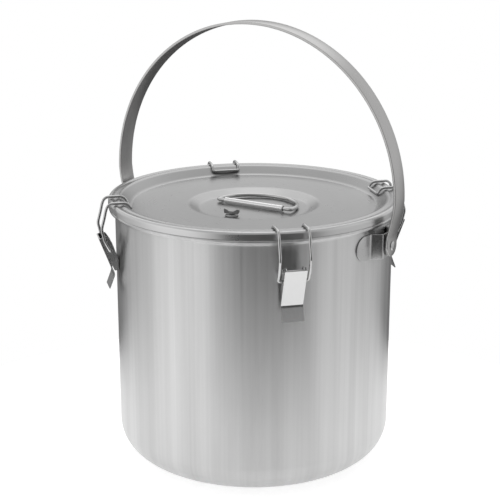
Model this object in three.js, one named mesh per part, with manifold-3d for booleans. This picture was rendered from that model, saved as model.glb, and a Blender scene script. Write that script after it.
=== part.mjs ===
// A clip-latched stainless steel kettle: a deep round pot, a pressed lid with a folding ring handle
// and a small vent valve, four over-centre latches round the rim, and a flat strap bail.
// Units are millimetres. +Z is up, the bail's pivots lie on the X axis, and the origin is the
// centre of the flat base.
import * as THREE from 'three';
import { mergeVertices } from 'three/addons/utils/BufferGeometryUtils.js';
import Module from 'manifold-3d';

const wasm = await Module();
wasm.setup();

// ---------------------------------------------------------------- driving dimensions

const gap = 0.3; // clearance left between pieces that touch
const facets = 48; // flats round the pot, the lid and the gasket

const pot = { radius: 136, sheet: 1.2, corner: 31 };
const rim = { neckZ: 247, beadX: 139.8, beadZ: 251.2, beadRadius: 2.2 };
rim.topZ = rim.beadZ + rim.beadRadius;

const lid = { radius: 142.5, sheet: 1, skirtZ: 253.4, floorZ: 247, floorRadius: 54 };
lid.panelZ = lid.floorZ + 5;
lid.grooveZ = lid.panelZ + 7.8;
lid.ridgeZ = lid.panelZ + 9;

const gasket = { inner: 134, outer: 138.4 };

const ring = { rod: 1.9, halfWidth: 41.5, reach: 41.5, plugged: 26 };
const barrel = { radius: 2.9, bore: 2.2, halfLength: 33 };
barrel.axisZ = lid.floorZ + gap + barrel.radius;

const vent = { x: -2, y: -38, turn: 14, stem: 2, hole: 2.6, seatRadius: 6.5 };

const pivotZ = 230.2; // height of the bail's rivets
const bail = { width: 20, thickness: 2.5, radius: 156.75, centreZ: 272, footX: 150.1, hole: 3.4 };
const ear = {
  centreZ: 231, height: 24, halfFlange: 37, halfRoot: 17, halfFace: 11, faceX: 146.2, sheet: 1.2,
};
const washer = { radius: 8, thickness: 0.8 };
const rivet = { shank: 3, headRadius: 4.3, tailRadius: 5.5 };

// Each latch is drawn in its own radial plane: first number outwards from the pot's axis, second up.
const latch = {
  angles: { front_right: -45, front_left: -135, back_left: 135, back_right: 45 },
  pivot: [148.5, 226],
  lean: 20.7, // the closed lever's angle from vertical, in degrees
  hookDrop: 11, // from the lever's pivot down to the hook's pivot
  wire: 1.35,
  wireHalfSpan: 14,
};
const lever = { halfWidth: 10.3, sheet: 1, standOff: 4.2, length: 35.3, tab: 15, tabLean: 20.9 };
const base = { halfWidth: 8.6, sheet: 1 };
const pin = { radius: 1.3, headRadius: 2.3 };

// ---------------------------------------------------------------- materials

const steel = (name, color, roughness) =>
  new THREE.MeshStandardMaterial({ name, color, roughness, metalness: 1 });

const materials = {
  satin: steel('satin_steel', 0xc4c5c6, 0.34),
  pressed: steel('pressed_steel', 0xbcbdbf, 0.3),
  strap: steel('strap_steel', 0xa9aaab, 0.36),
  bright: steel('bright_steel', 0xd4d5d6, 0.16),
  rubber: new THREE.MeshStandardMaterial({ name: 'seal', color: 0xb9b7b2, roughness: 0.7, metalness: 0 }),
};

// ---------------------------------------------------------------- solids

/** Turns a closed geometry into a solid that can be joined and cut. */
function solidOf(geometry) {
  const bare = geometry.clone();
  bare.deleteAttribute('normal');
  bare.deleteAttribute('uv');
  const merged = mergeVertices(bare, 1e-4);
  const { array } = merged.index;
  const triVerts = [];
  for (let i = 0; i < array.length; i += 3) {
    const [a, b, c] = array.slice(i, i + 3);
    if (a !== b && b !== c && c !== a) triVerts.push(a, b, c);
  }
  return new wasm.Manifold(new wasm.Mesh({
    numProp: 3,
    vertProperties: merged.attributes.position.array,
    triVerts: Uint32Array.from(triVerts),
  }));
}

/** Turns a solid back into a geometry. */
function geometryOf(solid) {
  const { vertProperties, triVerts } = solid.getMesh();
  const geometry = new THREE.BufferGeometry();
  geometry.setAttribute('position', new THREE.BufferAttribute(Float32Array.from(vertProperties), 3));
  geometry.setIndex(new THREE.BufferAttribute(Uint32Array.from(triVerts), 1));
  geometry.computeVertexNormals();
  return geometry;
}

const join = (first, ...others) =>
  geometryOf(others.reduce((sum, other) => sum.add(solidOf(other)), solidOf(first)));

const cut = (first, ...tools) =>
  geometryOf(tools.reduce((left, tool) => left.subtract(solidOf(tool)), solidOf(first)));

const common = (first, second) => geometryOf(solidOf(first).intersect(solidOf(second)));

// ---------------------------------------------------------------- shapes

const radians = THREE.MathUtils.degToRad;

/** The outline of a bent sheet: its outer face, with the material on the left of travel. */
function sheetOutline(face, thickness) {
  const normals = face.slice(1).map(([x, y], i) => {
    const length = Math.hypot(x - face[i][0], y - face[i][1]);
    return [(face[i][1] - y) / length, (x - face[i][0]) / length];
  });
  const back = face.map(([x, y], i) => {
    const before = normals[Math.max(i - 1, 0)];
    const after = normals[Math.min(i, normals.length - 1)];
    const reach = thickness / (1 + before[0] * after[0] + before[1] * after[1]);
    return [x + (before[0] + after[0]) * reach, y + (before[1] + after[1]) * reach];
  });
  return [...back.reverse(), ...face];
}

/** Points on a circle, from one angle in degrees to another. */
function arc([x, y], radius, from, to, steps) {
  return Array.from({ length: steps + 1 }, (_, i) => {
    const angle = radians(from + (to - from) * i / steps);
    return [x + radius * Math.cos(angle), y + radius * Math.sin(angle)];
  });
}

const shapeOf = (points) => new THREE.Shape(points.map(([x, y]) => new THREE.Vector2(x, y)));

/** Turns a profile of [radius, height] points round the Z axis. */
function turned(profile, segments) {
  const points = profile.map(([x, y]) => new THREE.Vector2(x, y));
  return new THREE.LatheGeometry(points, segments).rotateX(Math.PI / 2);
}

/** Turns a profile of [radius, distance] points round the X axis. */
const turnedAlongX = (profile, segments) => turned(profile, segments).rotateY(Math.PI / 2);

/** Turns a profile of [radius, distance] points round the Y axis. */
const turnedAlongY = (profile, segments) => turned(profile, segments).rotateX(-Math.PI / 2);

/** An outline in the XZ plane, as thick as given and centred on Y. */
function slabAlongY(shape, width) {
  const solid = new THREE.ExtrudeGeometry(shape, { depth: width, bevelEnabled: false, curveSegments: 6 });
  return solid.rotateX(Math.PI / 2).translate(0, width / 2, 0);
}

/** An outline in the YZ plane, from one X to another. */
function slabAlongX(shape, fromX, toX) {
  const depth = toX - fromX;
  const solid = new THREE.ExtrudeGeometry(shape, { depth, bevelEnabled: false, curveSegments: 8 });
  const toYZ = new THREE.Matrix4().makeBasis(
    new THREE.Vector3(0, 1, 0), new THREE.Vector3(0, 0, 1), new THREE.Vector3(1, 0, 0));
  return solid.applyMatrix4(toYZ).translate(fromX, 0, 0);
}

function roundHole(shape, [x, y], radius) {
  shape.holes.push(new THREE.Path().absarc(x, y, radius, 0, 2 * Math.PI, true));
}

/** A path through listed points, whose steps fall on the points themselves. */
class PointPath extends THREE.Curve {
  constructor(points) {
    super();
    this.points = points;
  }

  getPoint(t, target = new THREE.Vector3()) {
    const place = t * (this.points.length - 1);
    const i = Math.min(Math.floor(place), this.points.length - 2);
    return target.lerpVectors(this.points[i], this.points[i + 1], place - i);
  }

  getPointAt(u, target) {
    return this.getPoint(u, target);
  }

  getTangentAt(u, target = new THREE.Vector3()) {
    const i = Math.round(u * (this.points.length - 1));
    const before = this.points[Math.max(i - 1, 0)];
    const here = this.points[i];
    const after = this.points[Math.min(i + 1, this.points.length - 1)];
    const arriving = here.clone().sub(before).normalize();
    return target.copy(after).sub(here).normalize().add(arriving).normalize();
  }
}

/** A round rod through [x, y, z] points. */
function rod(points, radius, sides) {
  const path = new PointPath(points.map((p) => new THREE.Vector3(...p)));
  const section = shapeOf(arc([0, 0], radius, 0, 360, sides).slice(1));
  return new THREE.ExtrudeGeometry(section, { steps: points.length - 1, extrudePath: path });
}

// ---------------------------------------------------------------- pot

/** A drawn shell with a wide bottom radius and a rolled bead round its mouth. */
function potShell() {
  const inside = pot.radius - pot.sheet;
  const cornerX = pot.radius - pot.corner;
  return turned([
    [0, 0],
    ...arc([cornerX, pot.corner], pot.corner, -90, 0, 6),
    [pot.radius, rim.neckZ],
    [pot.radius + 1.4, rim.neckZ + 2.6],
    ...arc([rim.beadX, rim.beadZ], rim.beadRadius, -140, 90, 6),
    [pot.radius + 0.8, rim.topZ],
    [inside + 0.4, rim.topZ - 0.9],
    [inside, rim.topZ - 2.6],
    ...arc([cornerX, pot.corner], pot.corner - pot.sheet, 0, -90, 6),
    [0, pot.sheet],
  ], facets);
}

/** A hat-section bracket: round-ended flanges on the wall, slanted sides and a face that holds the bail. */
function earBracket() {
  const flangeRadius = pot.radius + gap + ear.sheet;
  const flangeEnd = THREE.MathUtils.radToDeg(Math.asin(ear.halfFlange / flangeRadius));
  const flangeRoot = THREE.MathUtils.radToDeg(Math.asin(ear.halfRoot / flangeRadius));
  const face = [
    ...arc([0, 0], flangeRadius, -flangeEnd, -flangeRoot, 3),
    [ear.faceX, -ear.halfFace],
    [ear.faceX, ear.halfFace],
    ...arc([0, 0], flangeRadius, flangeRoot, flangeEnd, 3),
  ];
  const bent = new THREE.ExtrudeGeometry(shapeOf(sheetOutline(face, ear.sheet)), {
    depth: ear.height + 2, bevelEnabled: false,
  }).translate(0, 0, ear.centreZ - (ear.height + 2) / 2);
  const half = ear.height / 2;
  const straight = ear.halfFlange - half;
  const blank = slabAlongX(shapeOf([
    ...arc([straight, ear.centreZ], half, -90, 90, 8),
    ...arc([-straight, ear.centreZ], half, 90, 270, 8),
  ]), pot.radius - 10, ear.faceX + 5);
  const hole = turnedAlongX([[0, ear.faceX - 5], [bail.hole, ear.faceX - 5], [bail.hole, ear.faceX + 5],
    [0, ear.faceX + 5]], 16).translate(0, 0, pivotZ);
  return cut(common(bent, blank), hole);
}

/** Stops along X of what the rivet holds: bracket face, washer and strap. */
const stack = { washerX: ear.faceX + gap };
stack.headX = bail.footX + gap;
stack.tailX = ear.faceX - ear.sheet - gap;

function bailRivet() {
  return turnedAlongX([
    [0, stack.tailX - 2.4],
    [rivet.tailRadius - 0.6, stack.tailX - 2.4],
    [rivet.tailRadius, stack.tailX],
    [rivet.shank, stack.tailX],
    [rivet.shank, stack.headX],
    [rivet.headRadius, stack.headX],
    [rivet.headRadius - 0.5, stack.headX + 0.6],
    [rivet.headRadius - 2.2, stack.headX + 1.1],
    [0, stack.headX + 1.3],
  ], 16).translate(0, 0, pivotZ);
}

function bailWasher() {
  const farX = stack.washerX + washer.thickness;
  return turnedAlongX([
    [bail.hole, stack.washerX],
    [washer.radius, stack.washerX],
    [washer.radius, farX],
    [bail.hole, farX],
    [bail.hole, stack.washerX],
  ], 16).translate(0, 0, pivotZ);
}

// ---------------------------------------------------------------- bail

/** A flat strap: a half circle over two legs that step in to the rivets and end round. */
function bailStrap() {
  const leg = [
    [bail.footX, pivotZ - 12],
    [bail.footX, pivotZ + 7],
    [bail.footX + 1.6, pivotZ + 14],
    [bail.radius - 1.2, bail.centreZ - 11],
  ];
  const otherLeg = leg.map(([x, z]) => [-x, z]).reverse();
  const face = [...leg, ...arc([0, bail.centreZ], bail.radius, 0, 180, 36), ...otherLeg];
  const arch = slabAlongY(shapeOf(sheetOutline(face, bail.thickness)), bail.width + 4);
  const half = bail.width / 2;
  const blank = slabAlongX(shapeOf([
    ...arc([0, pivotZ], half, 180, 360, 12),
    [half, bail.centreZ + bail.radius + 5],
    [-half, bail.centreZ + bail.radius + 5],
  ]), -bail.radius - 5, bail.radius + 5);
  const hole = turnedAlongX([[0, -bail.radius], [bail.hole, -bail.radius], [bail.hole, bail.radius],
    [0, bail.radius]], 16).translate(0, 0, pivotZ);
  return cut(common(arch, blank), hole);
}

// ---------------------------------------------------------------- lid

/** A pressed lid: centre recess, flat panel, raised ridge, shallow groove and a turned-down edge. */
function lidPanel() {
  const top = [
    [lid.radius, lid.skirtZ],
    [lid.radius, lid.ridgeZ - 2.2],
    [lid.radius - 1, lid.ridgeZ - 0.6],
    [lid.radius - 3, lid.ridgeZ],
    [lid.radius - 6.5, lid.grooveZ],
    [lid.radius - 10, lid.ridgeZ],
    [lid.radius - 12.5, lid.ridgeZ - 0.8],
    [lid.radius - 20.5, lid.panelZ + 1.2],
    [lid.radius - 22.5, lid.panelZ],
    [lid.floorRadius + 10, lid.panelZ],
    [lid.floorRadius, lid.floorZ],
    [0, lid.floorZ],
  ];
  const hole = turned([[0, lid.floorZ - 5], [vent.hole, lid.floorZ - 5], [vent.hole, lid.floorZ + 5],
    [0, lid.floorZ + 5]], 16).translate(vent.x, vent.y, 0);
  return cut(turned(sheetOutline(top, lid.sheet), facets), hole);
}

/** A soft ring in the lid's channel, over the pot's rim. */
function lidGasket() {
  const low = rim.topZ + gap;
  const high = lid.grooveZ - lid.sheet - gap - 0.2;
  return turned([
    [gasket.inner, low],
    [gasket.outer, low],
    [gasket.outer, high - 0.8],
    [gasket.outer - 2, high],
    [gasket.inner + 1, high],
    [gasket.inner, high - 0.8],
    [gasket.inner, low],
  ], facets);
}

/** The welded hinge tube that holds both ends of the ring handle. */
function handleBarrel() {
  const foot = barrel.radius * 0.62;
  const outline = shapeOf([
    ...arc([0, barrel.axisZ], barrel.radius, -50, 230, 14),
    [-foot, barrel.axisZ - barrel.radius],
    [foot, barrel.axisZ - barrel.radius],
  ]);
  roundHole(outline, [0, barrel.axisZ], barrel.bore);
  return slabAlongX(outline, -barrel.halfLength, barrel.halfLength);
}

/** A half-round rod handle with its ends turned into the hinge tube, resting on the recess floor. */
function ringHandle() {
  const straight = 4;
  const bow = arc([0, 0], 1, 0, 180, 16).map(([x, y]) =>
    [x * ring.halfWidth, straight + y * (ring.reach - straight), 0]);
  const end = [[ring.plugged, 0, 0], [ring.halfWidth - 3.4, 0, 0], [ring.halfWidth - 0.9, 0.9, 0]];
  const otherEnd = end.map(([x, y]) => [-x, y, 0]).reverse();
  const drop = barrel.axisZ - (lid.floorZ + gap + ring.rod);
  return rod([...end, ...bow, ...otherEnd], ring.rod, 8)
    .rotateX(-Math.asin(drop / ring.reach))
    .translate(0, 0, barrel.axisZ);
}

function ventSeat() {
  const low = lid.floorZ + gap;
  return turned([
    [vent.hole, low],
    [vent.seatRadius, low],
    [vent.seatRadius - 0.6, low + 1.1],
    [vent.hole, low + 1.1],
    [vent.hole, low],
  ], 20).translate(vent.x, vent.y, 0);
}

/** A bow-tie wing on a screw that goes down through the lid and carries the plug. */
function ventKnob() {
  const foot = lid.floorZ + 2 * gap + 1.1;
  const tail = lid.floorZ - lid.sheet - 3;
  const screw = turned([
    [0, tail],
    [3.4, tail],
    [3.4, tail + 0.9],
    [vent.stem, tail + 0.9],
    [vent.stem, foot],
    [3.2, foot],
    [3.2, foot + 1.6],
    [0, foot + 1.6],
  ], 16);
  const wings = slabAlongY(shapeOf([
    [-7.4, foot + 0.4],
    [7.4, foot + 0.4],
    [7.4, foot + 5.2],
    [5, foot + 4.8],
    [2.4, foot + 2.9],
    [-2.4, foot + 2.9],
    [-5, foot + 4.8],
    [-7.4, foot + 5.2],
  ]), 3);
  return join(screw, wings).rotateZ(radians(vent.turn)).translate(vent.x, vent.y, 0);
}

/** The seal that the screw draws up against the underside of the lid. */
function ventPlug() {
  const high = lid.floorZ - lid.sheet - gap;
  return turned([
    [vent.stem + gap, high - 1.4],
    [5, high - 1.4],
    [5.4, high],
    [vent.stem + gap, high],
    [vent.stem + gap, high - 1.4],
  ], 16).translate(vent.x, vent.y, 0);
}

// ---------------------------------------------------------------- latches, in their radial plane

const [pivotR, pivotHeight] = latch.pivot;
const along = [Math.sin(radians(latch.lean)), Math.cos(radians(latch.lean))]; // up the closed lever
const outward = [along[1], -along[0]];

/** A point beside the closed lever: down along it from its pivot, and inwards from its plate. */
const beside = (down, inwards) => [
  pivotR + outward[0] * (lever.standOff - inwards) - along[0] * down,
  pivotHeight + outward[1] * (lever.standOff - inwards) - along[1] * down,
];

const hookPivot = beside(latch.hookDrop, lever.standOff);

/** A channel whose foot lies on the wall and whose two cheeks lean out to the lever's pivot. */
function latchBase() {
  const wallX = pot.radius + gap;
  const web = slabAlongY(shapeOf([
    [wallX, 195],
    [wallX + base.sheet, 195],
    [wallX + base.sheet + 0.5, 205.4],
    [wallX + 6.7, 222.1],
    [wallX + 5.7, 222.4],
    [wallX, 206],
  ]), 2 * base.halfWidth);
  const cheek = shapeOf([
    [wallX, 195],
    beside(32, 0.9),
    beside(28.5, 0.7),
    beside(4, 0.6),
    ...arc(latch.pivot, 3.6, -30, 150, 8),
    [wallX + 5.7, 222.4],
    [wallX, 206],
  ]);
  roundHole(cheek, latch.pivot, pin.radius + gap);
  const middle = base.halfWidth - base.sheet / 2;
  return join(web,
    slabAlongY(cheek, base.sheet).translate(0, middle, 0),
    slabAlongY(cheek, base.sheet).translate(0, -middle, 0));
}

/** A headed pin through the base and the lever. */
function latchPin() {
  const inner = lever.halfWidth + gap;
  return turnedAlongY([
    [0, -inner - 0.8],
    [pin.headRadius, -inner - 0.8],
    [pin.headRadius, -inner],
    [pin.radius, -inner],
    [pin.radius, inner],
    [pin.headRadius, inner],
    [pin.headRadius, inner + 0.8],
    [0, inner + 0.8],
  ], 12).translate(pivotR, 0, pivotHeight);
}

/** A channel lever: a flat plate, a finger tab bent outwards, and two cheeks that hold the pivots. */
function latchLever() {
  const knee = beside(lever.length, 0);
  const tip = [
    knee[0] + lever.tab * Math.sin(radians(lever.tabLean)),
    knee[1] - lever.tab * Math.cos(radians(lever.tabLean)),
  ];
  const plate = slabAlongY(
    shapeOf(sheetOutline([beside(-3.5, 0), knee, tip], lever.sheet)), 2 * lever.halfWidth);
  const cheek = shapeOf([
    beside(-3.5, -lever.sheet / 2),
    beside(-3.5, 4.5),
    beside(-1.5, 7),
    beside(12.5, 7.2),
    beside(15, 6),
    beside(28, -lever.sheet / 2),
  ]);
  roundHole(cheek, latch.pivot, pin.radius + gap);
  roundHole(cheek, hookPivot, latch.wire + 0.4);
  const middle = lever.halfWidth - lever.sheet / 2;
  return join(plate,
    slabAlongY(cheek, lever.sheet).translate(0, middle, 0),
    slabAlongY(cheek, lever.sheet).translate(0, -middle, 0));
}

/** A spring wire loop: two cranked legs from the lever and a bar that sits inside the lid's ridge. */
function latchHook() {
  const bar = [lid.radius - 19.5, lid.ridgeZ - 4.1];
  const overLid = lid.ridgeZ + gap + latch.wire;
  const leg = [
    [149.6, 225.7],
    [152.4, 238],
    [149.5, 248.6],
    [147.7, 256.6],
    [146, overLid - 2.2],
    [142.8, overLid],
    [129.4, overLid],
    [126, overLid - 1.5],
  ].map(([x, z]) => [x, latch.wireHalfSpan, z]);
  const turnedIn = base.halfWidth + 0.4;
  const half = [
    [hookPivot[0], turnedIn, hookPivot[1]],
    [hookPivot[0], latch.wireHalfSpan - 1.5, hookPivot[1]],
    [hookPivot[0] + 0.4, latch.wireHalfSpan, hookPivot[1] + 1.5],
    ...leg,
    [bar[0], latch.wireHalfSpan, bar[1] + 1.4],
    [bar[0], latch.wireHalfSpan - 1.4, bar[1]],
  ];
  const otherHalf = half.map(([x, y, z]) => [x, -y, z]).reverse();
  return rod([...half, ...otherHalf], latch.wire, 6);
}

// ---------------------------------------------------------------- assembly

const kettle = new THREE.Group();

function place(name, geometry, material, turn = 0) {
  const mesh = new THREE.Mesh(geometry, material);
  mesh.name = name;
  mesh.rotation.z = radians(turn);
  kettle.add(mesh);
}

place('pot_shell', potShell(), materials.satin);
for (const [side, turn] of [['right', 0], ['left', 180]]) {
  place(`ear_${side}`, earBracket(), materials.satin, turn);
  place(`bail_rivet_${side}`, bailRivet(), materials.bright, turn);
  place(`bail_washer_${side}`, bailWasher(), materials.bright, turn);
}
place('bail_strap', bailStrap(), materials.strap);

place('lid_panel', lidPanel(), materials.pressed);
place('lid_gasket', lidGasket(), materials.rubber);
place('lid_handle_barrel', handleBarrel(), materials.bright);
place('lid_handle_ring', ringHandle(), materials.bright);
place('vent_seat', ventSeat(), materials.bright);
place('vent_knob', ventKnob(), materials.bright);
place('vent_plug', ventPlug(), materials.rubber);

for (const [corner, turn] of Object.entries(latch.angles)) {
  place(`latch_base_${corner}`, latchBase(), materials.bright, turn);
  place(`latch_pin_${corner}`, latchPin(), materials.bright, turn);
  place(`latch_lever_${corner}`, latchLever(), materials.bright, turn);
  place(`latch_hook_${corner}`, latchHook(), materials.bright, turn);
}

export default kettle;
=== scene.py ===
"""Looks of a clip-latched stainless steel kettle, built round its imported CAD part.

Sizes in the modelling functions are in millimetres, and each finished piece is scaled to metres.
Latch parts are drawn in a radial plane, as (distance from the pot's axis, height), and then turned
round Z to their corners.
"""

import math

import bmesh
import bpy
from mathutils import Matrix, Vector


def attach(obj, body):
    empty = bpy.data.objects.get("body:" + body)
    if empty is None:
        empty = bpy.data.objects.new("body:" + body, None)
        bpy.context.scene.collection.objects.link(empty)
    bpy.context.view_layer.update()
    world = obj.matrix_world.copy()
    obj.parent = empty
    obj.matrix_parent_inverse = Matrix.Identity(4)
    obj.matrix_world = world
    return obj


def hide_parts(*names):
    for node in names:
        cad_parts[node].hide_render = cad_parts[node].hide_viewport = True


MM = 0.001
GAP = 0.3  # the clearance that the CAD part leaves between touching pieces
POT_RADIUS = 136.0
LID_RADIUS = 142.5
ROUND = 192  # steps round the pot and the lid
AXIS_REACH = 1e-6  # a point of a turned outline nearer than this is on the axis
CORNERS = {"front_right": -45, "front_left": -135, "back_left": 135, "back_right": 45}

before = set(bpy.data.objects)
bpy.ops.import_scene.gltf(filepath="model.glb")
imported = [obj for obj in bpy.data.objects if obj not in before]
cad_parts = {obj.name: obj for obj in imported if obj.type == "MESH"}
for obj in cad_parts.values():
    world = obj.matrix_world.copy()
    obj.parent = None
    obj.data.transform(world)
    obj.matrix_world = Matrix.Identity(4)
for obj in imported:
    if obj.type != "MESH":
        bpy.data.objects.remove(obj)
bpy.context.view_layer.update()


# ---------------------------------------------------------------- outlines

def arc(centre, radius, start, end, steps):
    """Points on a circle, from one angle in degrees to another."""
    angles = [math.radians(start + (end - start) * i / steps) for i in range(steps + 1)]
    return [(centre[0] + radius * math.cos(a), centre[1] + radius * math.sin(a)) for a in angles]


def rounded(points, reach, steps=6):
    """A line through points, with each inner corner replaced by a curve that starts reach before it."""
    points = [Vector(p) for p in points]
    line = [points[0]]
    for before, corner, after in zip(points, points[1:], points[2:]):
        back, on = before - corner, after - corner
        cut = min(reach, 0.48 * back.length, 0.48 * on.length)
        start, end = corner + back.normalized() * cut, corner + on.normalized() * cut
        for i in range(steps + 1):
            t = i / steps
            line.append(start * (1 - t) ** 2 + corner * 2 * t * (1 - t) + end * t ** 2)
    return [*line, points[-1]]


def line_normals(points):
    """The left-hand normal at each point of a flat line, with the stretch that a bend there gives it."""
    points = [Vector(p) for p in points]
    sides = []
    for a, b in zip(points, points[1:]):
        step = (b - a).normalized()
        sides.append(Vector((-step.y, step.x)))
    normals = []
    for i in range(len(points)):
        first, second = sides[max(i - 1, 0)], sides[min(i, len(sides) - 1)]
        normals.append((first + second) / (1 + first.dot(second)))
    return normals


def sheet_outline(face, thickness):
    """The closed outline of a bent sheet: its face, with the material on the left of travel."""
    back = [Vector(p) + n * thickness for p, n in zip(face, line_normals(face))]
    return [*[Vector(p) for p in face], *reversed(back)]


# ---------------------------------------------------------------- solids

def closed_mesh(rings):
    """Skins a list of equal rings of points and closes the first and the last."""
    mesh = bmesh.new()
    made = [[mesh.verts.new(p) for p in ring] for ring in rings]
    for low, high in zip(made, made[1:]):
        for i in range(len(low)):
            j = (i + 1) % len(low)
            mesh.faces.new((low[i], low[j], high[j], high[i]))
    mesh.faces.new(made[0])
    mesh.faces.new(made[-1])
    bmesh.ops.recalc_face_normals(mesh, faces=mesh.faces)
    return mesh


def turned(profile, steps=ROUND):
    """Turns an outline of (radius, height) round Z.

    The outline starts and ends on the axis, or is a loop whose last point joins its first.
    """
    on_axis = profile[0][0] < AXIS_REACH
    mesh = bmesh.new()
    rings = []
    angles = [2 * math.pi * i / steps for i in range(steps)]
    for radius, height in profile:
        if radius < AXIS_REACH:
            rings.append([mesh.verts.new((0, 0, height))])
            continue
        ring = [(radius * math.cos(a), radius * math.sin(a), height) for a in angles]
        rings.append([mesh.verts.new(p) for p in ring])
    pairs = list(zip(rings, rings[1:]))
    if not on_axis:
        pairs.append((rings[-1], rings[0]))
    for low, high in pairs:
        for i in range(steps):
            j = (i + 1) % steps
            corners = [low[i % len(low)], low[j % len(low)], high[j % len(high)], high[i % len(high)]]
            corners = list(dict.fromkeys(corners))
            if len(corners) > 2:
                mesh.faces.new(corners)
    bmesh.ops.recalc_face_normals(mesh, faces=mesh.faces)
    return mesh


def slab(outline, start, end):
    """A flat outline of (X, Z) points, from one Y to another."""
    return closed_mesh([[(p[0], y, p[1]) for p in outline] for y in (start, end)])


ROD_END = 0.8  # how much thinner a rod's end face is than the rod


def rod(points, radius, sides):
    """A round rod along a line of points, a little thinner at its two ends."""
    points = [Vector(p) for p in points]
    tangents = []
    for i in range(len(points)):
        before, after = points[max(i - 1, 0)], points[min(i + 1, len(points) - 1)]
        tangents.append((after - before).normalized())
    side = tangents[0].orthogonal().normalized()
    rings = []
    for i, (point, tangent) in enumerate(zip(points, tangents)):
        side = (side - tangent * side.dot(tangent)).normalized()
        other = tangent.cross(side)
        end = i in (0, len(points) - 1)
        size = radius * (ROD_END if end else 1)
        angles = [2 * math.pi * k / sides for k in range(sides)]
        rings.append([point + (side * math.cos(a) + other * math.sin(a)) * size for a in angles])
    return closed_mesh(rings)


def strip(face, half_widths, thickness, edge, to_space):
    """A bent flat strip with softened edges.

    Its face is a line of flat points with a half width at each, and to_space(point, across) places it.
    """
    rings = []
    for point, normal, half in zip(face, line_normals(face), half_widths):
        soft = min(edge, half * 0.6)
        ring = []
        for across, deep, start in ((1, -1, 270), (1, 1, 0), (-1, 1, 90), (-1, -1, 180)):
            centre = (across * (half - soft), thickness / 2 + deep * (thickness / 2 - soft))
            ring += arc(centre, soft, start, start + 90, 3)
        rings.append([to_space(Vector(point) + normal * depth, across) for across, depth in ring])
    return closed_mesh(rings)


FLAT_ANGLE = 0.5  # degrees within which the faces of a combined solid are merged


def combined(operation, first, *others):
    """Joins solids to the first, or cuts them from it."""
    objects = []
    for part in (first, *others):
        mesh = bpy.data.meshes.new("draft")
        part.to_mesh(mesh)
        part.free()
        objects.append(bpy.data.objects.new("draft", mesh))
        bpy.context.scene.collection.objects.link(objects[-1])
    for other in objects[1:]:
        modifier = objects[0].modifiers.new("combine", "BOOLEAN")
        modifier.operation = operation
        modifier.solver = "EXACT"
        modifier.object = other
    graph = bpy.context.evaluated_depsgraph_get()
    result = bmesh.new()
    result.from_object(objects[0], graph)
    flat = math.radians(FLAT_ANGLE)
    bmesh.ops.dissolve_limit(result, angle_limit=flat, verts=result.verts, edges=result.edges)
    for draft in objects:
        mesh = draft.data
        bpy.data.objects.remove(draft)
        bpy.data.meshes.remove(mesh)
    return result


def along_x(mesh):
    """Turns a piece made round Z so that it lies round X."""
    mesh.transform(Matrix.Rotation(math.radians(90), 4, "Y"))
    return mesh


def along_y(mesh):
    """Turns a piece made round Z so that it lies round Y."""
    mesh.transform(Matrix.Rotation(math.radians(-90), 4, "X"))
    return mesh


def moved(mesh, x, y, z):
    """Shifts a piece by the given distances."""
    mesh.transform(Matrix.Translation((x, y, z)))
    return mesh


SHARP_ANGLE = 40  # degrees between faces that don't shade as one
BEVEL_ANGLE = 30  # degrees between faces whose edge is softened


def add_piece(name, mesh, body, nodes, material, turn=0, bevel=0.0):
    """Makes a finished object of a solid, in metres, says what it rides on, and hides the CAD parts that
    it stands for.
    """
    mesh.transform(Matrix.Scale(MM, 4) @ Matrix.Rotation(math.radians(turn), 4, "Z"))
    data = bpy.data.meshes.new(name)
    mesh.to_mesh(data)
    mesh.free()
    data.shade_smooth()
    data.materials.append(material)
    piece = bpy.data.objects.new(name, data)
    bpy.context.scene.collection.objects.link(piece)
    if bevel:
        soften = piece.modifiers.new("soft_edges", "BEVEL")
        soften.width = bevel * MM
        soften.segments = 3
        soften.limit_method = "ANGLE"
        soften.angle_limit = math.radians(BEVEL_ANGLE)
        soften.harden_normals = True
    else:
        data.set_sharp_from_angle(angle=math.radians(SHARP_ANGLE))
    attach(piece, body)
    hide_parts(*nodes)


# ---------------------------------------------------------------- materials

# radii in metres between which the painted sheen on the lid's turned edge fades in
PAINTED_SHEEN_START = (LID_RADIUS - 3.5) * MM
PAINTED_SHEEN_END = (LID_RADIUS - 0.5) * MM
MARK_SCALE = 26.0  # of the faint marks that change how rough the steel is
MARK_DEPTH = 0.012
CLOUD_SCALE = 9.0  # of the handling marks that change its tone
GRAIN_STRENGTH = 0.35
ROUGHNESS_RANGE = 0.12  # how far the grain takes the roughness either way, as a share
UPRIGHT = 0.25  # the turn, in parts of a circle, that draws reflections out along Z
SEAL_TONE = (0.5, 0.49, 0.46)
DUST_SCALE = 240.0


def add_node(tree, kind, inputs=(), **settings):
    """Adds a shader node, sets its properties, and sets or links its inputs."""
    node = tree.nodes.new(kind)
    for key, value in settings.items():
        setattr(node, key, value)
    for key, value in dict(inputs).items():
        if isinstance(value, bpy.types.NodeSocket):
            tree.links.new(value, node.inputs[key])
        else:
            node.inputs[key].default_value = value
    return node


def noise(tree, vector, stretch, scale, detail):
    """Smooth noise, drawn out along the axes where stretch is small."""
    mapping = add_node(tree, "ShaderNodeMapping", {"Vector": vector, "Scale": stretch})
    texture = add_node(tree, "ShaderNodeTexNoise",
                       {"Vector": mapping.outputs["Vector"], "Scale": scale, "Detail": detail})
    return texture.outputs["Fac"]


def maths(tree, operation, first, second):
    """The result of a calculation with two values."""
    return add_node(tree, "ShaderNodeMath", {0: first, 1: second}, operation=operation).outputs[0]


def scaled(tree, colour, amount):
    """A colour made lighter or darker by a varying amount."""
    inputs = {0: colour, "Scale": amount}
    return add_node(tree, "ShaderNodeVectorMath", inputs, operation="SCALE").outputs[0]


def bumped(tree, height, strength, depth):
    """A surface direction that follows a noise value, as if it were a relief of this depth in metres."""
    inputs = {"Height": height, "Strength": strength, "Distance": depth}
    return add_node(tree, "ShaderNodeBump", inputs).outputs["Normal"]


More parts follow.
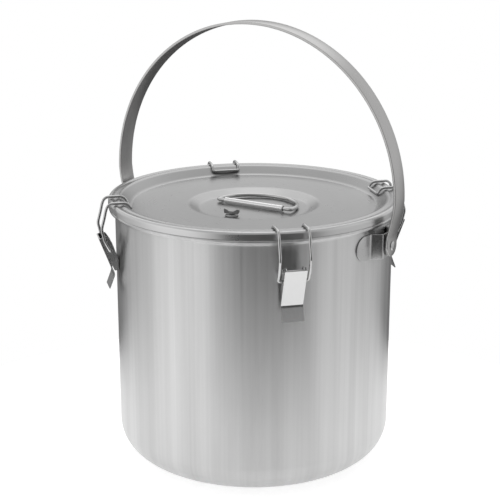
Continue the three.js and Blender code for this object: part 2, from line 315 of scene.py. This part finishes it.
def between(tree, factor, low, high):
    """Maps a noise value onto a range."""
    return add_node(tree, "ShaderNodeMapRange", {
        "Value": factor, "From Min": 0.25, "From Max": 0.75, "To Min": low, "To Max": high,
    }).outputs["Result"]


def round_coordinates(tree, position):
    """Angle and radius round the Z axis, with the height, as a vector."""
    parts = add_node(tree, "ShaderNodeSeparateXYZ", {"Vector": position})
    x, y, z = (parts.outputs[axis] for axis in "XYZ")
    angle = maths(tree, "ARCTAN2", y, x)
    flat = add_node(tree, "ShaderNodeCombineXYZ", {"X": x, "Y": y}).outputs[0]
    radius = add_node(tree, "ShaderNodeVectorMath", {0: flat}, operation="LENGTH").outputs["Value"]
    return add_node(tree, "ShaderNodeCombineXYZ", {"X": angle, "Y": radius, "Z": z}).outputs[0]


def steel(name, tone, spread, roughness, streaks, brushed, bump=0.00003, smudge=0.05, warm=0.0,
          drawn=0.0, bands=(1, 1, 1), edge=0.0):
    """Stainless steel: a base tone with streaks, faint handling marks and fine grain, and on the lid's
    turned edge a painted sheen.

    Spread is how much the streaks change the tone, and streaks gives their scale in each direction,
    round the Z axis where brushed is "round"; on the pot's wall these tone streaks are painted
    reflection streaks. Bump is their height in metres. Smudge is how much the handling marks change the
    tone, and bands stretches them. Warm tints the tone, drawn is how far reflections are drawn out up
    and down, and edge is the painted sheen that brightens the tone of the lid's turned edge.
    """
    material = bpy.data.materials.new(name)
    material.use_nodes = True
    tree = material.node_tree
    shader = tree.nodes["Principled BSDF"]
    position = add_node(tree, "ShaderNodeTexCoord").outputs["Object"]
    grain_space = round_coordinates(tree, position) if brushed == "round" else position
    grain = noise(tree, grain_space, streaks, 1.0, 4.0)
    marks = noise(tree, position, (1, 1, 1), MARK_SCALE, 5.0)
    cloud = noise(tree, grain_space, bands, CLOUD_SCALE, 2.0)
    # the streaks change the tone; on the pot's wall they are painted reflection streaks
    shade = between(tree, grain, -spread, spread)
    stain = between(tree, cloud, -smudge, smudge)
    total = maths(tree, "ADD", shade, stain)
    # painted sheen: the lid's turned edge gets a brighter tone, standing in for a brighter reflection
    # there
    if edge:
        radius = add_node(tree, "ShaderNodeSeparateXYZ", {"Vector": grain_space}).outputs["Y"]
        painted_edge_sheen = add_node(tree, "ShaderNodeMapRange", {
            "Value": radius, "From Min": PAINTED_SHEEN_START, "From Max": PAINTED_SHEEN_END,
            "To Min": 0.0, "To Max": edge,
        }).outputs["Result"]
        total = maths(tree, "ADD", total, painted_edge_sheen)
    tint = (tone * (1 + warm), tone, tone * (1 - warm))
    bright = maths(tree, "ADD", total, 1.0)
    tree.links.new(scaled(tree, tint, bright), shader.inputs["Base Color"])
    fine = between(tree, grain, roughness * (1 - ROUGHNESS_RANGE), roughness * (1 + ROUGHNESS_RANGE))
    worn = between(tree, marks, -MARK_DEPTH, MARK_DEPTH)
    rough = add_node(tree, "ShaderNodeMath", {0: fine, 1: worn}, operation="ADD", use_clamp=True)
    tree.links.new(rough.outputs[0], shader.inputs["Roughness"])
    tree.links.new(bumped(tree, grain, GRAIN_STRENGTH, bump), shader.inputs["Normal"])
    shader.inputs["Metallic"].default_value = 1.0
    if drawn:
        around = add_node(tree, "ShaderNodeTangent", direction_type="RADIAL", axis="Z")
        tree.links.new(around.outputs["Tangent"], shader.inputs["Tangent"])
        shader.inputs["Anisotropic"].default_value = drawn
        shader.inputs["Anisotropic Rotation"].default_value = UPRIGHT
    return material


def satin_wall_steel():
    """The pot's wall, with a satin finish and soft vertical streaks of painted reflection in its tone.
    """
    # its tone streaks, drawn out up and down, are painted reflection streaks
    return steel("satin_wall_steel", 0.57, 0.06, 0.34, (38, 30, 2.5), "round",
                 bump=0.000004, smudge=0.08, drawn=0.9, bands=(1, 1, 0.3))


def satin_bracket_steel():
    """The bail's ears, of the pot's steel with a lengthwise finish."""
    return steel("satin_bracket_steel", 0.5, 0.03, 0.3, (40, 900, 900), "straight")


def pressed_lid_steel():
    """The lid, pressed from finely ground sheet, with a painted sheen that brightens its turned edge."""
    # edge gives the lid's turned edge a painted sheen
    return steel("pressed_lid_steel", 0.36, 0.01, 0.3, (6, 260, 60), "round",
                 bump=0.000001, smudge=0.02, bands=(0.1, 4, 4), edge=0.6)


def strap_steel():
    """The bail's strap, brushed along its length."""
    return steel("strap_steel", 0.43, 0.05, 0.3, (60, 1500, 60), "straight", warm=0.008)


def bright_wire_steel():
    """Drawn wire, pins and rivets, brighter and smoother than the sheet."""
    return steel("bright_wire_steel", 0.5, 0.03, 0.16, (300, 300, 300), "straight")


def polished_tube_steel():
    """The ring handle's hinge tube, polished brighter than the wires."""
    return steel("polished_tube_steel", 0.68, 0.02, 0.18, (60, 700, 700), "straight", smudge=0.04)


def dark_cast_steel():
    """The vent's cast wing and seat, dull and darker than the sheet."""
    return steel("dark_cast_steel", 0.33, 0.08, 0.34, (700, 700, 700), "straight", bump=0.00006)


def bright_plate_steel():
    """The latch levers and their brackets, of bright rolled sheet."""
    return steel("bright_plate_steel", 0.59, 0.02, 0.22, (500, 500, 60), "straight", smudge=0.03)


def seal_rubber():
    """A pale, slightly dusty silicone."""
    material = bpy.data.materials.new("seal_rubber")
    material.use_nodes = True
    tree = material.node_tree
    shader = tree.nodes["Principled BSDF"]
    position = add_node(tree, "ShaderNodeTexCoord").outputs["Object"]
    dust = noise(tree, position, (1, 1, 1), DUST_SCALE, 5.0)
    amount = between(tree, dust, 0.86, 1.0)
    tree.links.new(scaled(tree, SEAL_TONE, amount), shader.inputs["Base Color"])
    tree.links.new(between(tree, dust, 0.55, 0.7), shader.inputs["Roughness"])
    tree.links.new(bumped(tree, dust, 0.3, 0.00005), shader.inputs["Normal"])
    return material


WALL = satin_wall_steel()
BRACKET = satin_bracket_steel()
PRESSED = pressed_lid_steel()
STRAP = strap_steel()
WIRE = bright_wire_steel()
TUBE = polished_tube_steel()
CAST = dark_cast_steel()
PLATE = bright_plate_steel()
RUBBER = seal_rubber()


# ---------------------------------------------------------------- pot

POT_SHEET = 1.2
POT_CORNER = 31.0
NECK_Z = 247.0
BEAD = (139.8, 251.2)
BEAD_RADIUS = 2.2
RIM_TOP = BEAD[1] + BEAD_RADIUS
PIVOT_Z = 230.2


def build_pot():
    """A drawn shell with a wide bottom radius, a necked mouth and a rolled bead."""
    inside = POT_RADIUS - POT_SHEET
    corner = (POT_RADIUS - POT_CORNER, POT_CORNER)
    neck = rounded([(POT_RADIUS, NECK_Z - 6), (POT_RADIUS, NECK_Z), (POT_RADIUS + 1.4, NECK_Z + 2.6),
                    (POT_RADIUS + 2.2, BEAD[1] - 1.6)], 1.6, 4)
    mouth = rounded([(BEAD[0], RIM_TOP), (POT_RADIUS + 0.8, RIM_TOP), (inside, RIM_TOP - 1.6),
                     (inside, RIM_TOP - 8)], 1.2, 4)
    profile = [
        (0, 0),
        *arc(corner, POT_CORNER, -90, 0, 24),
        *neck,
        *arc(BEAD, BEAD_RADIUS, -140, 85, 16),
        *mouth,
        *arc(corner, POT_CORNER - POT_SHEET, 0, -90, 24),
        (0, POT_SHEET),
    ]
    add_piece("pot_shell_fine", turned(profile), "kettle", ["pot_shell"], WALL)


# ---------------------------------------------------------------- ears, rivets and bail

EAR_SHEET = 1.2
EAR_GAP = 0.1  # the ear is drawn nearer to the wall than in the CAD part, as if welded
EAR_FACE_X = 146.2
EAR_HALF_FLANGE = 37.0
EAR_HALF_ROOT = 17.0
EAR_HALF_FACE = 11.0
EAR_HALF_HEIGHT = 12.0
EAR_Z = 231.0
BAIL_FOOT_X = 150.1
BAIL_RADIUS = 156.75
BAIL_Z = 272.0
BAIL_HALF_WIDTH = 10.0
BAIL_THICKNESS = 2.5
RIVET_SHANK = 3.0
RIVET_TAIL = 5.5
RIVET_HEAD = 4.3
WASHER_BORE = 3.4
WASHER_RADIUS = 8.0


def spaced(line, step):
    """The same line with extra points, so that no two are further apart than step."""
    points = [Vector(p) for p in line]
    result = [points[0]]
    for a, b in zip(points, points[1:]):
        count = max(1, math.ceil((b - a).length / step))
        result += [a.lerp(b, i / count) for i in range(1, count + 1)]
    return result


def build_ear(side, turn):
    """A hat-section bracket: round-ended flanges on the wall, slanted sides, and the bail's face."""
    flange = POT_RADIUS + EAR_GAP + EAR_SHEET
    end = math.degrees(math.asin((EAR_HALF_FLANGE - 0.4) / flange))
    root = math.degrees(math.asin(EAR_HALF_ROOT / flange))
    corner_angle = math.degrees(math.asin((EAR_HALF_FLANGE - 0.1) / flange))
    bend = rounded([
        arc((0, 0), flange, -root - 3, -root - 3, 1)[0],
        arc((0, 0), flange, -root, -root, 1)[0],
        (EAR_FACE_X, -EAR_HALF_FACE),
        (EAR_FACE_X, 0),
    ], 2.2)
    tip = arc((0, 0), flange, -corner_angle, -end + 0.6, 6)
    run = arc((0, 0), flange, -end + 1, -root - 3.2, 24)
    half = [*tip, *run, *bend[:-1]]
    line = spaced(half, 0.8)
    face = [*line, Vector((EAR_FACE_X, 0)), *[Vector((p.x, -p.y)) for p in reversed(line)]]
    straight = EAR_HALF_FLANGE - EAR_HALF_HEIGHT
    widths = []
    for point in face:
        past = max(abs(point.y) - straight, 0)
        widths.append(math.sqrt(max(EAR_HALF_HEIGHT ** 2 - past ** 2, 0.5)))
    mesh = strip(face, widths, EAR_SHEET, 0.35, lambda p, across: (p.x, p.y, EAR_Z + across))
    node = f"ear_{side}"
    add_piece(f"{node}_fine", mesh, "kettle", [node], BRACKET, turn)


def build_rivet(side, turn):
    """A domed rivet through the bracket and the strap."""
    tail = EAR_FACE_X - EAR_SHEET - GAP
    head = BAIL_FOOT_X + GAP
    tail_edge = [(RIVET_TAIL - 0.6, tail - 2.4), (RIVET_TAIL, tail - 1.8), (RIVET_TAIL, tail)]
    dome = [(RIVET_HEAD, head), (RIVET_HEAD, head + 0.3), (3.4, head + 0.9), (1.6, head + 1.2)]
    profile = [
        (0, tail - 2.4),
        *rounded(tail_edge, 0.6, 4),
        (RIVET_SHANK, tail),
        (RIVET_SHANK, head),
        *rounded(dome, 0.8, 5),
        (0, head + 1.3),
    ]
    mesh = moved(along_x(turned(profile, 40)), 0, 0, PIVOT_Z)
    node = f"bail_rivet_{side}"
    add_piece(f"{node}_fine", mesh, "kettle", [node], WIRE, turn)


def build_washer(side, turn):
    """The flat washer between the bracket and the strap."""
    near = EAR_FACE_X + GAP
    far = near + 0.8
    section = [(WASHER_BORE, near), (WASHER_RADIUS, near), (WASHER_RADIUS, far), (WASHER_BORE, far)]
    profile = rounded([*section, section[0]], 0.25, 3)
    mesh = moved(along_x(turned(profile[:-1], 48)), 0, 0, PIVOT_Z)
    node = f"bail_washer_{side}"
    add_piece(f"{node}_fine", mesh, "kettle", [node], WIRE, turn)


def build_bail():
    """A flat strap: a half circle over two legs that step in to the rivets and end round."""
    foot = []
    for angle in range(6, 90, 7):
        foot.append((BAIL_FOOT_X, PIVOT_Z - BAIL_HALF_WIDTH * math.cos(math.radians(angle))))
    leg = rounded([
        (BAIL_FOOT_X, PIVOT_Z),
        (BAIL_FOOT_X, PIVOT_Z + 7),
        (BAIL_FOOT_X + 1.6, PIVOT_Z + 14),
        (BAIL_RADIUS - 1.2, BAIL_Z - 11),
        (BAIL_RADIUS, BAIL_Z),
    ], 6, 8)
    half_arc = arc((0, BAIL_Z), BAIL_RADIUS, 1.5, 90, 60)
    side = [Vector(p) for p in (*foot, *leg, *half_arc)]
    face = [*side, *[Vector((-p.x, p.y)) for p in reversed(side[:-1])]]
    widths = []
    for point in face:
        below = max(PIVOT_Z - point.y, 0)
        widths.append(math.sqrt(max(BAIL_HALF_WIDTH ** 2 - below ** 2, 1)))
    mesh = strip(face, widths, BAIL_THICKNESS, 0.55, lambda p, across: (p.x, across, p.y))
    add_piece("bail_strap_fine", mesh, "bail", ["bail_strap"], STRAP)


# ---------------------------------------------------------------- lid

LID_SHEET = 1.0
SKIRT_Z = 253.4
FLOOR_Z = 247.0
FLOOR_RADIUS = 54.0
PANEL_Z = FLOOR_Z + 5
GROOVE_Z = PANEL_Z + 7.8
RIDGE_Z = PANEL_Z + 9
VENT = (-2.0, -38.0)
VENT_TURN = 14.0


def build_lid():
    """A pressed lid: centre recess, flat panel, raised ridge, shallow groove and a turned-down edge."""
    top = [
        (LID_RADIUS, SKIRT_Z),
        (LID_RADIUS, RIDGE_Z - 2.2),
        (LID_RADIUS - 1, RIDGE_Z - 0.6),
        (LID_RADIUS - 3, RIDGE_Z),
        (LID_RADIUS - 6.5, GROOVE_Z),
        (LID_RADIUS - 10, RIDGE_Z),
        (LID_RADIUS - 12.5, RIDGE_Z - 0.8),
        (LID_RADIUS - 20.5, PANEL_Z + 1.2),
        (LID_RADIUS - 22.5, PANEL_Z),
        (FLOOR_RADIUS + 10, PANEL_Z),
        (FLOOR_RADIUS, FLOOR_Z),
        (0, FLOOR_Z),
    ]
    outline = sheet_outline(rounded(top, 2.0, 6), LID_SHEET)
    profile = [(max(p[0], 0), p[1]) for p in outline]
    axis = next(i for i, p in enumerate(profile) if p[0] < AXIS_REACH)
    profile = [*profile[axis + 1:], *profile[:axis + 1]]
    add_piece("lid_panel_fine", turned(profile), "lid", ["lid_panel"], PRESSED)


GASKET_INNER = 134.0
GASKET_OUTER = 138.4


def build_gasket():
    """The lid's seal, a plain ring between the pot's bead and the lid's groove."""
    low = RIM_TOP + GAP
    high = GROOVE_Z - LID_SHEET - GAP - 0.2
    profile = rounded([
        (GASKET_INNER, low + 0.1),
        (GASKET_INNER, low),
        (GASKET_OUTER, low),
        (GASKET_OUTER, high - 0.6),
        (GASKET_OUTER - 1.6, high),
        (GASKET_INNER + 1, high),
        (GASKET_INNER, high - 0.8),
        (GASKET_INNER, low + 0.2),
    ], 0.6, 4)
    add_piece("lid_gasket_fine", turned(profile), "lid", ["lid_gasket"], RUBBER)


BARREL_RADIUS = 2.9
BARREL_BORE = 2.2
BARREL_HALF = 33.0
BARREL_Z = FLOOR_Z + GAP + BARREL_RADIUS


def build_barrel():
    """The welded hinge tube for the ring handle, on a flat foot."""
    foot = BARREL_RADIUS * 0.62
    outline = [*arc((0, BARREL_Z), BARREL_RADIUS, -50, 230, 40),
               (-foot, FLOOR_Z + GAP), (foot, FLOOR_Z + GAP)]
    body = slab([(-x, z) for x, z in outline], -BARREL_HALF, BARREL_HALF)
    bore = slab(arc((0, BARREL_Z), BARREL_BORE, 0, 354, 59), -BARREL_HALF - 1, BARREL_HALF + 1)
    mesh = combined("DIFFERENCE", body, bore)
    mesh.transform(Matrix.Rotation(math.radians(90), 4, "Z"))
    node = "lid_handle_barrel"
    add_piece(f"{node}_fine", mesh, "lid", [node], TUBE, bevel=0.2)


RING_ROD_RADIUS = 1.9
RING_HALF_WIDTH = 41.5
RING_REACH = 41.5
RING_STRAIGHT = 4.0  # the length of each side before the bow starts
RING_END = 26.0  # where the rod ends inside the tube, from the middle


def build_ring():
    """The half-round rod handle, folded down on the recess floor."""
    bow = [(x * RING_HALF_WIDTH, RING_STRAIGHT + y * (RING_REACH - RING_STRAIGHT))
           for x, y in arc((0, 0), 1, 0, 90, 24)]
    elbow = [(RING_END, 0), (RING_HALF_WIDTH, 0), (RING_HALF_WIDTH, RING_STRAIGHT + 0.5)]
    side = [*rounded(elbow, 3.4, 8), *bow[1:]]
    line = [*side, *[Vector((-p[0], p[1])) for p in reversed(side[:-1])]]
    drop = BARREL_Z - (FLOOR_Z + GAP + RING_ROD_RADIUS)
    fold = Matrix.Rotation(-math.asin(drop / RING_REACH), 4, "X")
    mesh = rod([(p[0], p[1], 0) for p in line], RING_ROD_RADIUS, 28)
    mesh.transform(Matrix.Translation((0, 0, BARREL_Z)) @ fold)
    add_piece("lid_handle_ring_fine", mesh, "lid_handle", ["lid_handle_ring"], WIRE)


VENT_SEAT_LOW = FLOOR_Z + GAP
VENT_SEAT_HEIGHT = 1.1
VENT_BORE = 2.6
WING_HALF_LENGTH = 7.4
WING_HALF_THICKNESS = 1.5


def build_vent_seat():
    """The vent's round seat on the recess floor."""
    low = VENT_SEAT_LOW
    high = low + VENT_SEAT_HEIGHT
    profile = rounded([(VENT_BORE, low + 0.1), (VENT_BORE, low), (6.5, low), (5.9, high),
                       (VENT_BORE, high), (VENT_BORE, low + 0.2)], 0.3, 4)
    mesh = moved(turned(profile, 48), *VENT, 0)
    add_piece("vent_seat_fine", mesh, "lid", ["vent_seat"], CAST)


def build_vent_knob():
    """A bow-tie wing on a screw that goes down through the lid."""
    foot = VENT_SEAT_LOW + GAP + VENT_SEAT_HEIGHT
    tail = FLOOR_Z - LID_SHEET - 3
    screw = turned([(0, tail), *rounded([(3.4, tail), (3.4, tail + 0.9), (2, tail + 0.9)], 0.3, 3),
                    (2, foot), (3.2, foot), (3.2, foot + 1.6), (0, foot + 1.6)], 32)
    side = rounded([(0, foot + 2.7), (2.6, foot + 2.8), (5, foot + 4.6), (WING_HALF_LENGTH, foot + 5.2),
                    (WING_HALF_LENGTH, foot + 0.4), (0, foot + 0.4)], 1.5, 5)
    wing_outline = [*side[:-1], *[Vector((-p[0], p[1])) for p in reversed(side[1:-1])]]
    wing = slab(wing_outline, -WING_HALF_THICKNESS, WING_HALF_THICKNESS)
    knob = combined("UNION", wing, screw)
    knob.transform(Matrix.Translation((*VENT, 0)) @ Matrix.Rotation(math.radians(VENT_TURN), 4, "Z"))
    add_piece("vent_knob_fine", knob, "vent_valve", ["vent_knob"], CAST, bevel=0.35)


def build_vent_plug():
    """The soft plug on the screw, under the lid."""
    high = FLOOR_Z - LID_SHEET - GAP
    bore = 2.3
    profile = rounded([(bore, high - 0.2), (bore, high - 1.4), (5, high - 1.4), (5.4, high),
                       (bore, high), (bore, high - 0.1)], 0.3, 3)
    mesh = moved(turned(profile, 48), *VENT, 0)
    add_piece("vent_plug_fine", mesh, "vent_valve", ["vent_plug"], RUBBER)


# ---------------------------------------------------------------- latches

PIVOT = Vector((148.5, 226.0))
LEAN = math.radians(20.7)
ALONG = Vector((math.sin(LEAN), math.cos(LEAN)))  # up the closed lever
OUTWARD = Vector((ALONG.y, -ALONG.x))
STAND_OFF = 4.2
LEVER_HALF = 10.3
LEVER_TOP = -3.5  # the plate's start, down from its pivot: negative, because it starts above it
LEVER_LENGTH = 35.3
TAB = 15.0
TAB_LEAN = math.radians(20.9)
LATCH_SHEET = 1.0
BASE_HALF = 8.6
BASE_LOW_Z = 195.0
BASE_EYE_RADIUS = 3.6
PIN_RADIUS = 1.3
WIRE_RADIUS = 1.35
WIRE_HALF_SPAN = 14.0
HOOK_PIVOT = PIVOT - ALONG * 11


def beside(down, inwards):
    """A point beside the closed lever: down along it from its pivot, and inwards from its plate."""
    return PIVOT + OUTWARD * (STAND_OFF - inwards) - ALONG * down


def cheeks(outline, holes, half_width):
    """Two flat cheeks of a latch part, with their pivot holes cut."""
    result = []
    for end in (-half_width, half_width - LATCH_SHEET):
        plate = slab(outline, end, end + LATCH_SHEET)
        tools = [slab(arc(centre, radius, 0, 348, 29), end - 1, end + LATCH_SHEET + 1)
                 for centre, radius in holes]
        result.append(combined("DIFFERENCE", plate, *tools))
    return result


def build_base(corner, turn):
    """A channel on the wall whose two cheeks hold the lever's pin."""
    wall = POT_RADIUS + GAP
    heel = (wall, BASE_LOW_Z)
    bend = (wall, 206)
    top = (wall + 5.7, 222.4)
    web_line = rounded([(wall + 1, BASE_LOW_Z), (wall + 1.5, 205.4), (wall + 6.7, 222.1)], 4, 6)
    back_line = rounded([top, bend, heel], 4, 6)
    web = slab([*web_line, *back_line], -BASE_HALF, BASE_HALF)
    outline = [
        heel, beside(32, 0.9), beside(28.5, 0.7), beside(4, 0.6),
        *arc(PIVOT, BASE_EYE_RADIUS, -30, 150, 16), top, bend,
    ]
    mesh = combined("UNION", web, *cheeks(outline, [(PIVOT, PIN_RADIUS + GAP)], BASE_HALF))
    node = f"latch_base_{corner}"
    add_piece(f"{node}_fine", mesh, "kettle", [node], PLATE, turn, bevel=0.25)


def build_pin(corner, turn):
    """The lever's pin, with a flat head at each end."""
    inner = LEVER_HALF + GAP
    outer = inner + 0.8
    head = rounded([(0.01, outer), (2.3, outer), (2.3, inner), (PIN_RADIUS, inner)], 0.3, 4)
    profile = [(0, outer), *[(p[0], p[1]) for p in head[1:]],
               *[(p[0], -p[1]) for p in reversed(head[1:])], (0, -outer)]
    mesh = moved(along_y(turned(profile, 32)), PIVOT.x, 0, PIVOT.y)
    node = f"latch_pin_{corner}"
    add_piece(f"{node}_fine", mesh, "kettle", [node], WIRE, turn)


def build_lever(corner, turn):
    """A channel lever: a flat plate, a finger tab bent outwards, and two cheeks for the pivots."""
    knee = beside(LEVER_LENGTH, 0)
    tip = knee + Vector((math.sin(TAB_LEAN), -math.cos(TAB_LEAN))) * TAB
    face = rounded([beside(LEVER_TOP, 0), knee, tip], 2.5, 8)
    plate = slab(sheet_outline(face, LATCH_SHEET), -LEVER_HALF, LEVER_HALF)
    back = rounded([
        beside(LEVER_TOP, 4.0),
        beside(LEVER_TOP, 4.5),
        beside(-1.5, 7),
        beside(12.5, 7.2),
        beside(15, 6),
        beside(20, 3.8),
    ], 1.5, 4)
    outline = [beside(LEVER_TOP, -0.5), *back, beside(28, -0.5)]
    holes = [(PIVOT, PIN_RADIUS + GAP), (HOOK_PIVOT, WIRE_RADIUS + 0.4)]
    mesh = combined("UNION", plate, *cheeks(outline, holes, LEVER_HALF))
    node = f"latch_lever_{corner}"
    add_piece(f"{node}_fine", mesh, f"lever_{corner}", [node], PLATE, turn, bevel=0.28)


def build_hook(corner, turn):
    """A spring wire loop: two cranked legs from the lever and a bar that sits inside the lid's ridge."""
    over = RIDGE_Z + GAP + WIRE_RADIUS
    bar = (LID_RADIUS - 19.5, RIDGE_Z - 4.1)
    # From the lever up past the skirt, over the ridge and down into the lid's panel.
    leg = [
        (149.6, 225.7),
        (152.4, 238),
        (149.5, 248.6),
        (147.7, 256.6),
        (146, over - 2.2),
        (142.8, over),
        (129.4, over),
        (126, over - 1.5),
        bar,
    ]
    side = [
        (HOOK_PIVOT.x, BASE_HALF + 0.4, HOOK_PIVOT.y),
        (HOOK_PIVOT.x, WIRE_HALF_SPAN, HOOK_PIVOT.y),
        *[(r, WIRE_HALF_SPAN, z) for r, z in leg],
        (bar[0], 0, bar[1]),
    ]
    half = rounded(side, 2.6, 6)[:-1]
    other = [Vector((p.x, -p.y, p.z)) for p in reversed(half)]
    mesh = rod([*half, *other], WIRE_RADIUS, 18)
    node = f"latch_hook_{corner}"
    add_piece(f"{node}_fine", mesh, f"hook_{corner}", [node], WIRE, turn)


# ---------------------------------------------------------------- studio

FLOOR_DISC_RADIUS = 0.41
FLOOR_DISC_PLACE = (0.04, -0.07, 0)  # a little towards the camera
FLOOR_DISC_TONE = 0.84
FLOOR_DISC_GLOW = 0.58


def add_floor():
    """A pale floor disc that glows a little, so that it shows as white under the kettle."""
    mesh = bmesh.new()
    bmesh.ops.create_circle(mesh, cap_ends=True, segments=96, radius=FLOOR_DISC_RADIUS)
    data = bpy.data.meshes.new("floor")
    mesh.to_mesh(data)
    mesh.free()
    material = bpy.data.materials.new("pale_floor")
    material.use_nodes = True
    shader = material.node_tree.nodes["Principled BSDF"]
    shader.inputs["Base Color"].default_value = (*[FLOOR_DISC_TONE] * 3, 1)
    shader.inputs["Roughness"].default_value = 0.9
    shader.inputs["Emission Color"].default_value = (1, 1, 1, 1)
    shader.inputs["Emission Strength"].default_value = FLOOR_DISC_GLOW
    data.materials.append(material)
    floor = bpy.data.objects.new("floor", data)
    floor.location = FLOOR_DISC_PLACE
    bpy.context.scene.collection.objects.link(floor)


def bearing(angle, elevation):
    """A direction, from its angle round Z from +X and its angle above the horizon."""
    flat, rise = math.radians(angle), math.radians(elevation)
    return (math.cos(flat) * math.cos(rise), math.sin(flat) * math.cos(rise), math.sin(rise))


STUDIO_LEVEL = 0.86
STUDIO_LIGHTS = (  # each: direction, the cosines where it starts and is full, and what it adds
    (bearing(-123, -5), 0.78, 0.98, 0.38),  # a window at the left
    (bearing(121, 48), 0.8, 0.93, 0.55),  # a lamp behind
    (bearing(121, 76), 0.88, 0.98, 0.45),  # a lamp overhead
    (bearing(121, -34), 0.45, 0.9, -0.6),  # the dimmer table behind
    (bearing(-51, 45), 0.45, 0.85, -0.28),  # the dimmer room in front
    (bearing(-47, -16), 0.66, 0.93, -0.66),  # the dark table in front
    ((0, 0, -1), 0.0, 0.2, -0.15),  # the ground
)
STUDIO_LEAST = 0.04


def add_world():
    """A bright studio, lighter and darker in some directions. Seen directly it is plain white."""
    world = bpy.data.worlds.new("studio")
    world.use_nodes = True
    bpy.context.scene.world = world
    tree = world.node_tree
    direction = add_node(tree, "ShaderNodeTexCoord").outputs["Generated"]

    def towards(light, start, full, amount):
        """Extra light round a direction, fading in between two cosines."""
        inputs = {0: direction, 1: light}
        cosine = add_node(tree, "ShaderNodeVectorMath", inputs, operation="DOT_PRODUCT").outputs["Value"]
        return add_node(tree, "ShaderNodeMapRange", {
            "Value": cosine, "From Min": start, "From Max": full,
            "To Min": 0.0, "To Max": amount,
        }, interpolation_type="SMOOTHSTEP").outputs["Result"]

    strength = add_node(tree, "ShaderNodeValue").outputs[0]
    strength.default_value = STUDIO_LEVEL
    for light, start, full, amount in STUDIO_LIGHTS:
        strength = maths(tree, "ADD", strength, towards(light, start, full, amount))
    seen = add_node(tree, "ShaderNodeLightPath").outputs["Is Camera Ray"]
    strength = maths(tree, "MAXIMUM", strength, STUDIO_LEAST)
    strength = maths(tree, "MAXIMUM", strength, seen)
    background = tree.nodes["Background"]
    background.inputs["Color"].default_value = (1, 1, 1, 1)
    tree.links.new(strength, background.inputs["Strength"])


CAMERA_BEARING = 31.18  # degrees round Z from looking along +Y
CAMERA_PITCH = 16.3  # degrees below the horizon
CAMERA_PLACE = (0.6299, -1.0483, 0.5609)
CAMERA_LENS = 92.3  # millimetres


def add_camera():
    """The camera, placed and aimed as for the photograph."""
    data = bpy.data.cameras.new("camera")
    data.lens = CAMERA_LENS
    camera = bpy.data.objects.new("camera", data)
    camera.location = CAMERA_PLACE
    camera.rotation_euler = (math.radians(90 - CAMERA_PITCH), 0, math.radians(CAMERA_BEARING))
    bpy.context.scene.collection.objects.link(camera)
    bpy.context.scene.camera = camera


# ---------------------------------------------------------------- the whole kettle

build_pot()
for ear_side, ear_turn in (("right", 0), ("left", 180)):
    build_ear(ear_side, ear_turn)
    build_rivet(ear_side, ear_turn)
    build_washer(ear_side, ear_turn)
build_bail()
build_lid()
build_gasket()
build_barrel()
build_ring()
build_vent_seat()
build_vent_knob()
build_vent_plug()
for latch_corner, latch_turn in CORNERS.items():
    build_base(latch_corner, latch_turn)
    build_pin(latch_corner, latch_turn)
    build_lever(latch_corner, latch_turn)
    build_hook(latch_corner, latch_turn)

add_camera()
add_world()
add_floor()
bpy.context.scene.view_settings.view_transform = "Standard"
